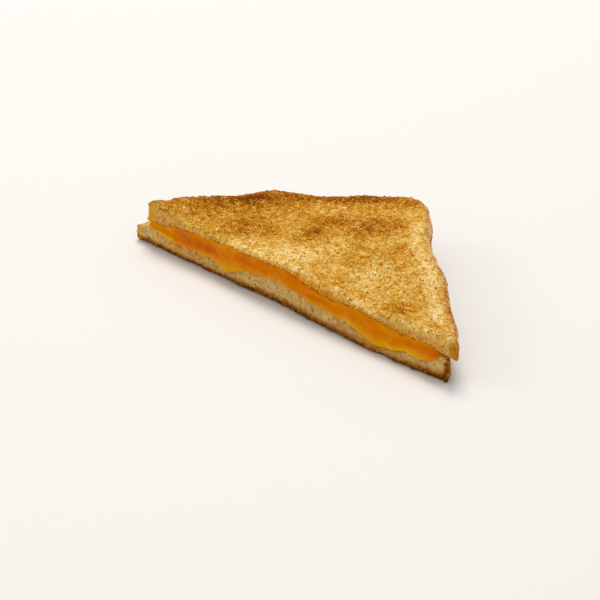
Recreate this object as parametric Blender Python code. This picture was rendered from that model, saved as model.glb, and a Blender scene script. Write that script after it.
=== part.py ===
"""Half of a grilled cheese sandwich, cut corner to corner and lying flat.

Two slices of square sandwich loaf with melted cheese between them.  The
frame: +X runs along the cut, the cut face looks towards -Y, the slice's
right-angled corner lies at +Y, and the toasted underside rests on z = 0.
The origin is the centre of the base of the object's box.
"""
import bmesh
import bpy
import numpy as np

MM = 0.001

# the loaf slice, before the cut
SLICE_SIDE = 113 * MM
CUT_LENGTH = SLICE_SIDE * np.sqrt(2.0)
CUT_TO_CORNER = CUT_LENGTH / 2
MIDDLE = np.array([0.0, CUT_TO_CORNER / (1 + np.sqrt(2.0))])
LOWER_SLIDE = -4.6 * MM          # the lower slice slipped along the cut
CORNER_ROUND = 11 * MM           # radius of the loaf's corner in plan
LEFT_TIP_ROUND = 4.5 * MM        # the two corners that the cut runs through
RIGHT_TIP_ROUND = 2.0 * MM

# heights of the stack at the cut, inland, and by the crust
TOP_AT_CUT = 17.0 * MM
TOP_AT_CORNER = 22.2 * MM
TOP_RIM_LIFT = 0.5 * MM
LOWER_AT_CUT = 7.0 * MM
LOWER_AT_CRUST = 10.2 * MM
CHEESE_AT_CUT = 6.8 * MM
CHEESE_INLAND = 3.0 * MM
CHEESE_THINNING = 0.78           # how much of it is gone at the crust
SQUASH_DEPTH = 46 * MM           # how far the knife's squash reaches inland
CRUST_REACH = 9 * MM             # how far the stiff crust holds the crumb up
LAYER_GAP = 0.3 * MM

# edges
CRUST_TOP_ROUND = 3.4 * MM
CRUST_BOTTOM_ROUND = 2.6 * MM
CRUST_INNER_ROUND = 1.4 * MM     # the slice's edge next to the cheese
CUT_TOP_ROUND = 1.5 * MM
CUT_BOTTOM_ROUND = 0.9 * MM
CUT_INNER_ROUND = 0.5 * MM
CHEESE_SETBACK = 1.6 * MM        # cheese edge behind the crust's face
CHEESE_OOZE = 1.0 * MM           # cheese standing proud of the cut
CHEESE_RIGHT_STOP = 8 * MM       # bare bread at the right tip
ROUND_TO_HEIGHT = 0.45           # an edge round is at most this much of its layer

# bumps along each edge: (station from the loaf's corner, half width, height)
FAR_EDGE = ((60 * MM, 19 * MM, 3.2 * MM), (94 * MM, 20 * MM, 2.6 * MM), (22 * MM, 10 * MM, 1.2 * MM))
NEAR_EDGE = ((38 * MM, 17 * MM, -2.4 * MM), (70 * MM, 13 * MM, 1.4 * MM), (98 * MM, 14 * MM, 1.5 * MM))
CUT_EDGE = ((40 * MM, 16 * MM, -0.5 * MM), (96 * MM, 22 * MM, 0.4 * MM), (130 * MM, 9 * MM, -0.4 * MM))

# bumps along the cut, for the stack's heights: (x, half width, height)
TOP_WAVES = ((-4 * MM, 24 * MM, 1.4 * MM), (36 * MM, 20 * MM, -1.5 * MM), (-34 * MM, 9 * MM, -0.9 * MM),
             (-79 * MM, 24 * MM, 2.2 * MM), (79 * MM, 16 * MM, 1.6 * MM))
LOWER_WAVES = ((-12 * MM, 26 * MM, 1.6 * MM), (45 * MM, 18 * MM, -1.5 * MM), (79 * MM, 22 * MM, 1.5 * MM))
CHEESE_WAVES = ((-78 * MM, 22 * MM, -2.6 * MM), (-34 * MM, 14 * MM, 0.9 * MM), (46 * MM, 16 * MM, 1.2 * MM),
                (79 * MM, 16 * MM, -4.6 * MM))
OOZE_WAVES = ((-34 * MM, 13 * MM, 0.7 * MM), (42 * MM, 18 * MM, 0.9 * MM), (-60 * MM, 12 * MM, -0.4 * MM))

# mesh counts
LEG_STEPS = 28
CUT_STEPS = 34
ROUND_STEPS = 5
FACE_RINGS = 6
FLAT_RINGS = 1
EDGE_STEPS = 2
RING_CROWDING = 1.5              # above 1, rings lie closer near the edge

CRUMB_COLOUR = (0.78, 0.60, 0.34, 1.0)
TOAST_COLOUR = (0.55, 0.28, 0.07, 1.0)
CHEESE_COLOUR = (0.62, 0.20, 0.012, 1.0)


def clear_scene():
    for item in list(bpy.data.objects):
        bpy.data.objects.remove(item, do_unlink=True)


def smooth_step(value):
    """0 below 0, 1 above 1, and 3v^2 - 2v^3 between."""
    clipped = np.clip(value, 0.0, 1.0)
    return clipped * clipped * (3 - 2 * clipped)


def bells(station, bumps):
    """Sum of cosine bells: height * (1 + cos(pi * distance / half width)) / 2."""
    total = np.zeros_like(station)
    for centre, half_width, height in bumps:
        away = np.clip(np.abs(station - centre) / half_width, 0.0, 1.0)
        total = total + height * (1 + np.cos(np.pi * away)) / 2
    return total


def mix(low, high, share):
    return low + (high - low) * share


def inland(y):
    """0 at the cut and 1 where the knife's squash has died away."""
    return smooth_step(y / SQUASH_DEPTH)


def near_crust(x, y):
    """1 on the crust line and fading inwards from both crust sides."""
    away = 1.0
    for direction in (1.0, -1.0):
        depth = np.maximum((CUT_TO_CORNER - y + direction * x) / np.sqrt(2.0), 0.0)
        away = away * (1 - np.exp(-((depth / CRUST_REACH) ** 2)))
    return 1 - away


def lower_top(x, y):
    """Height of the lower slice's inner face."""
    share = 1 - (1 - inland(y)) * (1 - 0.75 * near_crust(x, y))
    return mix(LOWER_AT_CUT + bells(x, LOWER_WAVES), LOWER_AT_CRUST, share)


def cheese_thickness(x, y):
    at_cut = CHEESE_AT_CUT + bells(x, CHEESE_WAVES)
    return mix(at_cut, CHEESE_INLAND, inland(y)) * (1 - CHEESE_THINNING * near_crust(x, y))


def stack_top(x, y):
    """Height of the upper slice's toasted face."""
    at_cut = TOP_AT_CUT + bells(x, TOP_WAVES)
    return mix(at_cut, TOP_AT_CORNER, inland(y)) + TOP_RIM_LIFT * near_crust(x, y)


def flat_base(x, y):
    return np.zeros_like(x)


def upper_bottom(x, y):
    return lower_top(x, y) + cheese_thickness(x, y) + LAYER_GAP


def cheese_bottom(x, y):
    return lower_top(x, y) + LAYER_GAP


def cheese_top(x, y):
    return lower_top(x, y) + cheese_thickness(x, y)


def rounded_corner(corner, before, after, radius):
    """Points on the arc of this radius that touches both sides of a corner."""
    to_before = (before - corner) / np.linalg.norm(before - corner)
    to_after = (after - corner) / np.linalg.norm(after - corner)
    half_angle = np.arccos(np.dot(to_before, to_after)) / 2
    reach = radius / np.tan(half_angle)
    bisector = (to_before + to_after) / np.linalg.norm(to_before + to_after)
    centre = corner + bisector * radius / np.sin(half_angle)
    start = corner + to_before * reach - centre
    end = corner + to_after * reach - centre
    turn = np.arctan2(start[0] * end[1] - start[1] * end[0], np.dot(start, end))
    angles = turn * np.linspace(0.0, 1.0, ROUND_STEPS + 1)
    cosines = np.cos(angles)
    sines = np.sin(angles)
    x = centre[0] + start[0] * cosines - start[1] * sines
    y = centre[1] + start[0] * sines + start[1] * cosines
    return np.stack([x, y], axis=1)


def side_points(start, end, steps):
    """Points between two corners' arcs, without the ends."""
    share = np.linspace(0.0, 1.0, steps + 1)[1:-1, None]
    return start + (end - start) * share


def halved_corner(side, radius):
    """A loaf corner with the cut through its middle: an eighth of a circle centred on the cut.

    side is +1 at the right tip and -1 at the left; the arc starts on the cut.
    """
    angles = np.radians(45.0) * np.linspace(0.0, 1.0, ROUND_STEPS + 1)
    x = CUT_TO_CORNER - radius * np.sqrt(2.0) + radius * np.cos(angles)
    return np.stack([side * x, radius * np.sin(angles)], axis=1)


def bumpy(points, stations, bumps, outward):
    """Points pushed along one direction by the bumps at their stations."""
    return points + np.outer(bells(stations, bumps), outward)


def half_slice_outline():
    """The cut slice in plan, anticlockwise, and how far each point is on the cut.

    The straight sides carry the loaf's waists and bumps, pushed along each
    side's outward direction.
    """
    left_tip = np.array([-CUT_TO_CORNER, 0.0])
    right_tip = np.array([CUT_TO_CORNER, 0.0])
    corner = np.array([0.0, CUT_TO_CORNER])
    right_arc = halved_corner(1, RIGHT_TIP_ROUND)
    corner_arc = rounded_corner(corner, right_tip, left_tip, CORNER_ROUND)
    left_arc = halved_corner(-1, LEFT_TIP_ROUND)[::-1]
    near_leg = side_points(right_arc[-1], corner_arc[0], LEG_STEPS)
    far_leg = side_points(corner_arc[-1], left_arc[0], LEG_STEPS)
    cut = side_points(left_arc[-1], right_arc[0], CUT_STEPS)
    diagonal = np.sqrt(0.5)
    near_leg = bumpy(near_leg, np.linalg.norm(near_leg - corner, axis=1), NEAR_EDGE, (diagonal, diagonal))
    far_leg = bumpy(far_leg, np.linalg.norm(far_leg - corner, axis=1), FAR_EDGE, (-diagonal, diagonal))
    cut = bumpy(cut, cut[:, 0] + CUT_TO_CORNER, CUT_EDGE, (0.0, -1.0))
    outline = np.concatenate([right_arc, near_leg, corner_arc, far_leg, left_arc, cut])
    tip_share = np.linspace(0.0, 1.0, ROUND_STEPS + 1) ** 2
    crust_count = len(near_leg) + len(corner_arc) + len(far_leg)
    on_cut = np.concatenate([tip_share[::-1], np.zeros(crust_count), tip_share, np.ones(len(cut))])
    return outline, on_cut


def towards_middle(outline, distance):
    """Each outline point moved towards the middle of the triangle's inner circle."""
    inward = MIDDLE - outline
    return outline + inward / np.linalg.norm(inward, axis=1)[:, None] * distance[:, None]


def face_shares(rings):
    """How far out each ring of a face lies, from near the middle to just inside its edge."""
    steps = np.arange(1, rings) / rings
    return 1 - (1 - steps) ** RING_CROWDING


def layer_rings(outline, bottom, top, bottom_round, top_round, bottom_rings):
    """Rings of points from the middle of the base, round the edge, to the middle of the top.

    The edge is a quarter round of bottom_round, an upright wall and a quarter
    round of top_round; both rounds are limited by the layer's own height.
    """
    height = top(*outline.T) - bottom(*outline.T)
    low_round = np.minimum(bottom_round, height * ROUND_TO_HEIGHT)
    high_round = np.minimum(top_round, height * ROUND_TO_HEIGHT)
    rings = []
    low_ring = towards_middle(outline, low_round)
    for share in face_shares(bottom_rings):
        flat = mix(MIDDLE, low_ring, share)
        rings.append(np.column_stack([flat, bottom(*flat.T)]))
    for angle in np.linspace(-np.pi / 2, 0.0, EDGE_STEPS + 1):
        flat = towards_middle(outline, low_round * (1 - np.cos(angle)))
        rings.append(np.column_stack([flat, bottom(*flat.T) + low_round * (1 + np.sin(angle))]))
    for angle in np.linspace(0.0, np.pi / 2, EDGE_STEPS + 1):
        flat = towards_middle(outline, high_round * (1 - np.cos(angle)))
        rings.append(np.column_stack([flat, top(*flat.T) - high_round * (1 - np.sin(angle))]))
    high_ring = towards_middle(outline, high_round)
    for share in face_shares(FACE_RINGS)[::-1]:
        flat = mix(MIDDLE, high_ring, share)
        rings.append(np.column_stack([flat, top(*flat.T)]))
    return rings


def closed_layer(name, rings, bottom, top, material):
    """Skin the rings with quads and close both ends with a fan to one point."""
    mesh = bpy.data.meshes.new(name)
    shell = bmesh.new()
    loops = [[shell.verts.new(point) for point in ring] for ring in rings]
    for lower, upper in zip(loops, loops[1:]):
        for index, vertex in enumerate(lower):
            after = (index + 1) % len(lower)
            shell.faces.new((vertex, lower[after], upper[after], upper[index]))
    for loop, height, upwards in ((loops[0], bottom, False), (loops[-1], top, True)):
        pole = shell.verts.new((*MIDDLE, float(height(*MIDDLE))))
        for index, vertex in enumerate(loop):
            after = loop[(index + 1) % len(loop)]
            shell.faces.new((vertex, after, pole) if upwards else (after, vertex, pole))
    bmesh.ops.triangulate(shell, faces=shell.faces[:])
    shell.to_mesh(mesh)
    shell.free()
    mesh.materials.append(material)
    mesh.shade_smooth()
    layer = bpy.data.objects.new(name, mesh)
    bpy.context.scene.collection.objects.link(layer)
    return layer


def plain_material(name, colour, roughness):
    material = bpy.data.materials.new(name)
    material.use_nodes = True
    shader = material.node_tree.nodes["Principled BSDF"]
    shader.inputs["Base Color"].default_value = colour
    shader.inputs["Roughness"].default_value = roughness
    shader.inputs["Metallic"].default_value = 0.0
    return material


def bread_lower(outline, on_cut):
    """The lower slice: flat toasted base, slipped to the left along the cut."""
    slipped = outline + np.array([LOWER_SLIDE, 0.0])
    bottom_round = mix(CRUST_BOTTOM_ROUND, CUT_BOTTOM_ROUND, on_cut)
    top_round = mix(CRUST_INNER_ROUND, CUT_INNER_ROUND, on_cut)
    rings = layer_rings(slipped, flat_base, lower_top, bottom_round, top_round, FLAT_RINGS)
    material = plain_material("toast_lower", TOAST_COLOUR, 0.7)
    return closed_layer("bread_lower", rings, flat_base, lower_top, material)


def bread_upper(outline, on_cut):
    """The upper slice, thin and crushed along the cut, full height at the crust."""
    bottom_round = mix(CRUST_INNER_ROUND, CUT_INNER_ROUND, on_cut)
    top_round = mix(CRUST_TOP_ROUND, CUT_TOP_ROUND, on_cut)
    rings = layer_rings(outline, upper_bottom, stack_top, bottom_round, top_round, FACE_RINGS)
    material = plain_material("toast_upper", CRUMB_COLOUR, 0.65)
    return closed_layer("bread_upper", rings, upper_bottom, stack_top, material)


def cheese(outline, on_cut):
    """The melted layer: midway between the slices, behind their crust, proud of the cut in soft lobes."""
    proud = CHEESE_OOZE + bells(outline[:, 0], OOZE_WAVES)
    inset = towards_middle(outline, CHEESE_SETBACK + np.zeros(len(outline)))
    inset[:, 0] = inset[:, 0] + LOWER_SLIDE / 2
    reach = np.array([-CUT_TO_CORNER, CUT_TO_CORNER - CHEESE_RIGHT_STOP])
    inset[:, 0] = np.clip(inset[:, 0], *reach)
    edge = inset + np.outer((proud + CHEESE_SETBACK) * on_cut, (0.0, -1.0))
    half_round = CHEESE_AT_CUT + np.zeros(len(outline))
    rings = layer_rings(edge, cheese_bottom, cheese_top, half_round, half_round, FACE_RINGS)
    material = plain_material("melted_cheese", CHEESE_COLOUR, 0.35)
    return closed_layer("cheese", rings, cheese_bottom, cheese_top, material)


def stand_on_origin(layers):
    """Bring the middle of the box's base to the origin."""
    points = np.array([vertex.co for layer in layers for vertex in layer.data.vertices])
    low = points.min(axis=0)
    high = points.max(axis=0)
    offset = np.array([(low[0] + high[0]) / 2, (low[1] + high[1]) / 2, low[2]])
    for layer in layers:
        for vertex in layer.data.vertices:
            vertex.co = np.array(vertex.co) - offset


def main():
    clear_scene()
    outline, on_cut = half_slice_outline()
    layers = [bread_lower(outline, on_cut), cheese(outline, on_cut), bread_upper(outline, on_cut)]
    stand_on_origin(layers)


main()
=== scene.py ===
import bpy
import numpy as np
from mathutils import Matrix, Vector


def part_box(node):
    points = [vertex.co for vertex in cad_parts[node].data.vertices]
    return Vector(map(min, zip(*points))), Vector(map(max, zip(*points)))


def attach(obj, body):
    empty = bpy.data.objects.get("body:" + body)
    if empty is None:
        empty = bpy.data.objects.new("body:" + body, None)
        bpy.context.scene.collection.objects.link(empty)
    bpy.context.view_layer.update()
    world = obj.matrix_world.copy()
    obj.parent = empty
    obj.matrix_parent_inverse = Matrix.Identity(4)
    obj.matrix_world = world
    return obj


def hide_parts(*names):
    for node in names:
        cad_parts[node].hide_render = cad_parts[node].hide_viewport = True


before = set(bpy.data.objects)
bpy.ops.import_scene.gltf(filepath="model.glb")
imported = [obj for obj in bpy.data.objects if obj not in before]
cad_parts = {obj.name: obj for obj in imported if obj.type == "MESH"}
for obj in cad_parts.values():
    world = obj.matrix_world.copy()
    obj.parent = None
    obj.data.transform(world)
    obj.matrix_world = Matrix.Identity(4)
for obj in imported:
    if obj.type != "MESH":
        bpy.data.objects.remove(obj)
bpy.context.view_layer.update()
mm = 0.001
print("frame loaded:", ", ".join(sorted(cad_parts)))

# The half slice, in millimetres: x along the cut, y from the cut to the loaf's corner, z up.
sandwich = {
    "side": 113.0,            # edge of the square slice
    "cornerRound": 11.0,
    "leftTipRound": 4.5,
    "rightTipRound": 2.0,
    "lowerSlide": -4.6,       # the lower slice slipped this far along the cut
    "lowerStretch": 1.02,     # and is a little longer than the upper one
    "topAtCut": 17.0,
    "topAtCorner": 22.2,
    "rimLift": 0.5,
    "rimWaves": ((-52, 26, 1.1),),
    "lowerAtCut": 7.0,
    "lowerAtCrust": 10.2,
    "cheeseAtCut": 6.8,
    "cheeseInland": 3.0,
    "cheeseThinning": 0.78,
    "squashDepth": 46.0,      # how far inland the knife squashed it
    "crustReach": 9.0,
    "layerGap": 0.3,
    "farEdge": ((62, 20, 3.9), (94, 20, 3.0), (25, 10, 1.2), (81, 14, 1.8)),        # bumps: station, half width, height
    "nearEdge": ((38, 17, -2.4), (52, 13, -1.7), (70, 13, 0.5), (98, 14, 0.8)),
    "cutEdge": ((40, 16, -0.5), (96, 22, 0.4), (130, 9, -0.4)),
    "topWaves": ((-4, 24, 1.4), (36, 20, -1.5), (-34, 9, -0.9), (-79, 24, 2.9), (79, 16, 1.6)),
    "lowerWaves": ((-12, 26, 1.6), (45, 18, -1.5), (79, 22, 1.5)),
    "cheeseWaves": ((-78, 22, -2.6), (-34, 14, 0.9), (46, 16, 1.2), (79, 16, -4.6)),
}
cutToCorner = sandwich["side"] / np.sqrt(2.0)
middle = np.array([0.0, cutToCorner / (1 + np.sqrt(2.0))])    # centre of the triangle's inner circle
innerRadius = middle[1]


def mix(low, high, share):
    return low + (high - low) * share


def smoothStep(low, high, value):
    # 0 below low, 1 above high, 3t^2 - 2t^3 between
    t = np.clip((value - low) / (high - low), 0.0, 1.0)
    return t * t * (3 - 2 * t)


def bells(station, bumps):
    # sum of cosine bells: height * (1 + cos(pi * distance / half width)) / 2
    total = np.zeros_like(station)
    for centre, halfWidth, height in bumps:
        away = np.clip(np.abs(station - centre) / halfWidth, 0.0, 1.0)
        total = total + height * (1 + np.cos(np.pi * away)) / 2
    return total


def cellRandom(cell, seed):
    # one number from 0 to 1 for each whole-numbered cell: its three counts are hashed
    mask = 0xFFFFFFFF
    h = (cell[..., 0] * 374761393 + cell[..., 1] * 668265263 + cell[..., 2] * 974711 + seed * 362437) & mask
    h = ((h ^ (h >> 13)) * 1274126177) & mask
    h = ((h ^ (h >> 15)) * 668265263) & mask
    return ((h ^ (h >> 16)) & 0xFFFFFF) / 0xFFFFFF


def softNoise(points, size, seed):
    # gradient noise, about -1 to 1: each cell corner has a random slope, faded between corners by 6t^5 - 15t^4 + 10t^3
    where = points / size
    cell = np.floor(where).astype(np.int64)
    part = where - cell
    fade = part ** 3 * (part * (part * 6 - 15) + 10)
    total = np.zeros(len(points))
    for corner in np.ndindex(2, 2, 2):
        offset = np.array(corner)
        slope = np.stack([cellRandom(cell + offset, seed + axis * 101) for axis in range(3)], -1) * 2 - 1
        weight = np.prod(np.where(offset, fade, 1 - fade), -1)
        total = total + weight * np.sum(slope * (part - offset), -1)
    return total * 1.6


def layeredNoise(points, size, layers, seed):
    # softNoise at this size plus finer layers, each half as large and half as strong
    total = 0.0
    for layer in range(layers):
        total = total + softNoise(points, size / 2 ** layer, seed + layer * 17) / 2 ** layer
    return total


def pores(points, size, seed, share, smallest, largest):
    # round pits, 0 to 1: some cells hold one ball, (1 - (distance / radius)^2)^2 deep, with a random radius
    where = points / size
    cell = np.floor(where).astype(np.int64)
    deepest = np.zeros(len(points))
    for step in np.ndindex(3, 3, 3):
        near = cell + np.array(step) - 1
        spot = near + np.stack([cellRandom(near, seed + axis * 7) for axis in range(3)], -1)
        radius = mix(smallest, largest, cellRandom(near, seed + 31)) / size
        square = np.sum((where - spot) ** 2, -1) / radius ** 2
        pit = np.clip(1 - square, 0.0, 1.0) ** 2 * (cellRandom(near, seed + 53) < share)
        deepest = np.maximum(deepest, pit)
    return deepest


def inland(y):
    return smoothStep(0.0, sandwich["squashDepth"], y)


def nearCrust(x, y):
    # 1 on the crust line, fading inwards from both crust sides as exp(-(depth / reach)^2)
    away = 1.0
    for direction in (1.0, -1.0):
        depth = np.maximum((cutToCorner - y + direction * x) / np.sqrt(2.0), 0.0)
        away = away * (1 - np.exp(-((depth / sandwich["crustReach"]) ** 2)))
    return 1 - away


def lowerTop(x, y):
    share = 1 - (1 - inland(y)) * (1 - 0.75 * nearCrust(x, y))
    return mix(sandwich["lowerAtCut"] + bells(x, sandwich["lowerWaves"]), sandwich["lowerAtCrust"], share)


def cheeseThickness(x, y):
    atCut = sandwich["cheeseAtCut"] + bells(x, sandwich["cheeseWaves"])
    return mix(atCut, sandwich["cheeseInland"], inland(y)) * (1 - sandwich["cheeseThinning"] * nearCrust(x, y))


def stackTop(x, y):
    atCut = sandwich["topAtCut"] + bells(x, sandwich["topWaves"])
    rim = sandwich["rimLift"] + bells(x, sandwich["rimWaves"])
    return mix(atCut, sandwich["topAtCorner"], inland(y)) + rim * nearCrust(x, y)


def cheeseTop(x, y):
    return lowerTop(x, y) + cheeseThickness(x, y) + 0.15


def upperBottom(x, y):
    return lowerTop(x, y) + cheeseThickness(x, y) + sandwich["layerGap"]


def flatBase(x, y):
    return np.zeros_like(x)


# Where torn crumb hangs over the cheese or stands up beside it, within a few millimetres of the cut.
tornEdge = {
    "upperHang": ((52, 26, 2.3), (18, 18, 1.5), (-60, 16, 0.5)),
    "lowerRise": ((-6, 40, 2.1), (-85, 10, -2.8)),
    "reach": 4.5,
    "flare": ((40, 52, 2.8), (-40, 34, 0.8)),      # the fried skin sticks out under the crumb
    "flareRise": (3.4, 0.8),
    "flareReach": 8.0,
}


def besideCut(x, y, bumps):
    return bells(x, bumps) * np.exp(-((np.maximum(y, 0.0) / tornEdge["reach"]) ** 2))


def tornLowerTop(x, y):
    return lowerTop(x, y) + besideCut(x, y, tornEdge["lowerRise"])


def tornUpperBottom(x, y):
    return upperBottom(x, y) - besideCut(x, y, tornEdge["upperHang"])


def flared(points):
    # the foot of the cut leans outwards: bells along it * smooth fall with height * exp(-(depth / reach)^2)
    x, y, z = points.T
    low = smoothStep(*tornEdge["flareRise"], z) * np.exp(-((np.maximum(y, 0.0) / tornEdge["flareReach"]) ** 2))
    return points - np.stack([np.zeros_like(x), bells(x, tornEdge["flare"]) * low, np.zeros_like(x)], 1)


def roundedOutline(corners, radii, bumps, count, cutDensity, blend):
    # A polygon with rounded corners, anticlockwise; its last side is the cut. Each side may carry bumps along its
    # outward direction, fading at its ends: bumps[side] = (point that stations are measured from, bumps). The points are then spread
    # evenly along it, closer together on the cut, and know how near they are to the cut.
    corners = np.array(corners, float)
    sides = np.roll(corners, -1, 0) - corners
    ahead = sides / np.linalg.norm(sides, axis=1)[:, None]
    left = np.stack([-ahead[:, 1], ahead[:, 0]], 1)
    turns = np.arccos(np.clip(np.sum(ahead * np.roll(ahead, 1, 0), 1), -1, 1))
    trims = np.array(radii) * np.tan(turns / 2)
    runs = []
    for side in range(len(corners)):
        following = (side + 1) % len(corners)
        start = corners[side] + ahead[side] * trims[side]
        end = corners[following] - ahead[side] * trims[following]
        line = mix(start, end, np.linspace(0, 1, 500)[:, None])
        if side in bumps:
            origin, shape = bumps[side]
            ends = np.minimum(np.linalg.norm(line - start, axis=1), np.linalg.norm(line - end, axis=1))
            rise = bells(np.linalg.norm(line - origin, axis=1), shape) * smoothStep(0, 9, ends)
            line = line - left[side] * rise[:, None]
        angle = np.linspace(0, turns[following], 60)[1:-1, None]
        centre = end + left[side] * radii[following]
        arc = centre + radii[following] * (ahead[side] * np.sin(angle) - left[side] * np.cos(angle))
        runs.append((line, arc))
    dense = np.concatenate([part for pair in runs for part in pair])
    lastLine, lastArc = runs[-1]
    cutEnds = len(dense) - len(lastLine) - len(lastArc), len(dense) - len(lastArc) - 1
    onCut = np.zeros(len(dense))
    onCut[cutEnds[0]:cutEnds[1]] = 1.0
    steps = np.linalg.norm(np.roll(dense, -1, 0) - dense, axis=1)
    run = np.concatenate([[0.0], np.cumsum(steps)])
    cutStart, cutEnd, length = run[cutEnds[0]], run[cutEnds[1]], run[-1]
    wanted = np.concatenate([[0.0], np.cumsum(steps * mix(1.0, cutDensity, onCut))])
    at = np.interp(np.arange(count + 1) / count * wanted[-1], wanted, run)
    closed = np.vstack([dense, dense[:1]])
    points = np.stack([np.interp(at[:-1], run, closed[:, axis]) for axis in range(2)], 1)
    along = np.roll(points, -1, 0) - np.roll(points, 1, 0)
    outward = np.stack([along[:, 1], -along[:, 0]], 1)
    outward = outward / np.linalg.norm(outward, axis=1)[:, None]
    away = np.where(at < cutStart, np.minimum(cutStart - at, at + length - cutEnd), np.maximum(at - cutEnd, 0.0))[:-1]
    cut = 1 - smoothStep(0, blend, away)
    return {"points": points, "outward": outward, "cut": cut, "run": at, "crustLength": cutStart}


def sliceOutline(count, cutDensity):
    # the bread: each tip is a loaf corner halved by the cut, so its round starts square to the cut
    tips = []
    for radius in (sandwich["rightTipRound"], sandwich["leftTipRound"]):
        trim = radius * np.tan(np.pi / 8)
        tips.append((cutToCorner - trim, trim))
    (rightX, rightY), (leftX, leftY) = tips
    corner = (0.0, cutToCorner)
    corners = [(rightX, 0.0), (rightX, rightY + 0.001), corner, (-leftX, leftY + 0.001), (-leftX, 0.0)]
    radii = [0.0, sandwich["rightTipRound"], sandwich["cornerRound"], sandwich["leftTipRound"], 0.0]
    bumps = {1: (corner, sandwich["nearEdge"]), 2: (corner, sandwich["farEdge"]),
             4: ((-cutToCorner, 0.0), sandwich["cutEdge"])}
    return roundedOutline(corners, radii, bumps, count, cutDensity, 1.2)


def insetBy(points, outward, distance):
    # towards the middle, far enough that the edge itself moves in by this distance
    inward = middle - points
    inward = inward / np.linalg.norm(inward, axis=1)[:, None]
    facing = np.maximum(-np.sum(inward * outward, 1), 0.45)
    return points + inward * (distance / facing)[:, None]


def faceShares(spacing, edgeSpacing):
    # how far out each ring lies, from near the middle to just inside the edge; closer together near the edge
    widths = []
    reached = 0.0
    while reached < innerRadius - spacing:
        width = mix(edgeSpacing, spacing, min(reached / 8.0, 1.0))
        reached = reached + width
        widths.append(reached)
    return 1 - np.array(widths[::-1]) / innerRadius


def halvings(share):
    # outer rings keep every point; each halving of the radius keeps every second one
    return 2 ** int(np.clip(np.floor(-np.log2(max(share, 0.01))), 0, 3))


def layerRings(outline, bottom, top, edge, spacings):
    # Rings from the middle of the underside, round the edge, to the middle of the top. The edge is a quarter
    # ellipse, a wall that swells by sin(pi * height share), and a quarter ellipse.
    points = outline["points"]
    outward = outline["outward"]
    height = top(*points.T) - bottom(*points.T)
    lowRound, highRound = edge["lowRound"], edge["highRound"]
    lowRise = np.minimum(edge["lowRise"], height * 0.4)
    highRise = np.minimum(edge["highRise"], height * 0.55)
    rings = []

    def add(plan, z, kind, wall, depth, step=1):
        count = len(plan)
        rings.append({"points": np.column_stack([plan, z]), "kind": kind, "step": step,
                      "wall": np.broadcast_to(wall, count), "depth": np.broadcast_to(depth, count)})

    lowRing = insetBy(points, outward, lowRound)
    for share in faceShares(*spacings["bottom"]):
        step = halvings(share)
        plan = mix(middle, lowRing, share)[::step]
        add(plan, bottom(*plan.T), "bottom", 0.0, (1 - share) * innerRadius, step)
    for angle in np.linspace(-np.pi / 2, 0, edge["roundRows"] + 1):
        depth = lowRound * (1 - np.cos(angle))
        plan = insetBy(points, outward, depth)
        climb = lowRise * (1 + np.sin(angle))
        add(plan, bottom(*plan.T) + climb, "edge", climb / height, depth)
    for share in np.linspace(0, 1, edge["wallRows"] + 1)[1:-1]:
        swell = edge["swell"] * np.sin(np.pi * share)
        plan = points + outward * swell[:, None]
        z = mix(bottom(*points.T) + lowRise, top(*points.T) - highRise, share)
        add(plan, z, "edge", mix(lowRise / height, 1 - highRise / height, share), -swell)
    for angle in np.linspace(0, np.pi / 2, edge["roundRows"] + 1):
        depth = highRound * (1 - np.cos(angle))
        plan = insetBy(points, outward, depth)
        drop = highRise * (1 - np.sin(angle))
        add(plan, top(*plan.T) - drop, "edge", 1 - drop / height, depth)
    highRing = insetBy(points, outward, highRound)
    for share in faceShares(*spacings["top"])[::-1]:
        step = halvings(share)
        plan = mix(middle, highRing, share)[::step]
        add(plan, top(*plan.T), "top", 1.0, (1 - share) * innerRadius + highRound[::step], step)
    return rings


def ringFaces(lower, upper, lowerStart, upperStart):
    # faces between two rings of equal, doubled or halved counts, as corner numbers; triangles repeat no corner
    lowerCount = len(lower["points"])
    upperCount = len(upper["points"])
    i = np.arange(min(lowerCount, upperCount))
    if lowerCount == upperCount:
        after = (i + 1) % lowerCount
        return [np.stack([lowerStart + i, lowerStart + after, upperStart + after, upperStart + i], 1)]
    coarse = len(i)
    after = (i + 1) % coarse
    first = 2 * i
    half = 2 * i + 1
    last = (2 * i + 2) % (2 * coarse)
    if lowerCount > upperCount:
        fine, wide = lowerStart, upperStart
        return [np.stack([fine + first, fine + half, wide + i], 1),
                np.stack([fine + half, wide + after, wide + i], 1),
                np.stack([fine + half, fine + last, wide + after], 1)]
    fine, wide = upperStart, lowerStart
    return [np.stack([wide + i, fine + half, fine + first], 1),
            np.stack([wide + i, wide + after, fine + half], 1),
            np.stack([wide + after, fine + last, fine + half], 1)]


# Where each part of a piece lies on its own flat map: the widest face above, then the cut's strip, the crust's
# strip in two lengths, and the other face small below.
mapPlan = {
    "scale": 0.94 / 162.0,          # of the map's width for each millimetre
    "mainFace": (0.5, 0.505),
    "smallFace": (0.26, 0.012),
    "smallShare": 0.40,
    "stripRows": (0.500, 0.395, 0.29),   # the top of the cut's strip and of the crust's two
}


def flatPlace(points, main):
    scale = mapPlan["scale"] * (1.0 if main else mapPlan["smallShare"])
    origin = mapPlan["mainFace"] if main else mapPlan["smallFace"]
    return np.stack([origin[0] + points[:, 0] * scale, origin[1] + (points[:, 1] + 3.0) * scale], 1)


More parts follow.
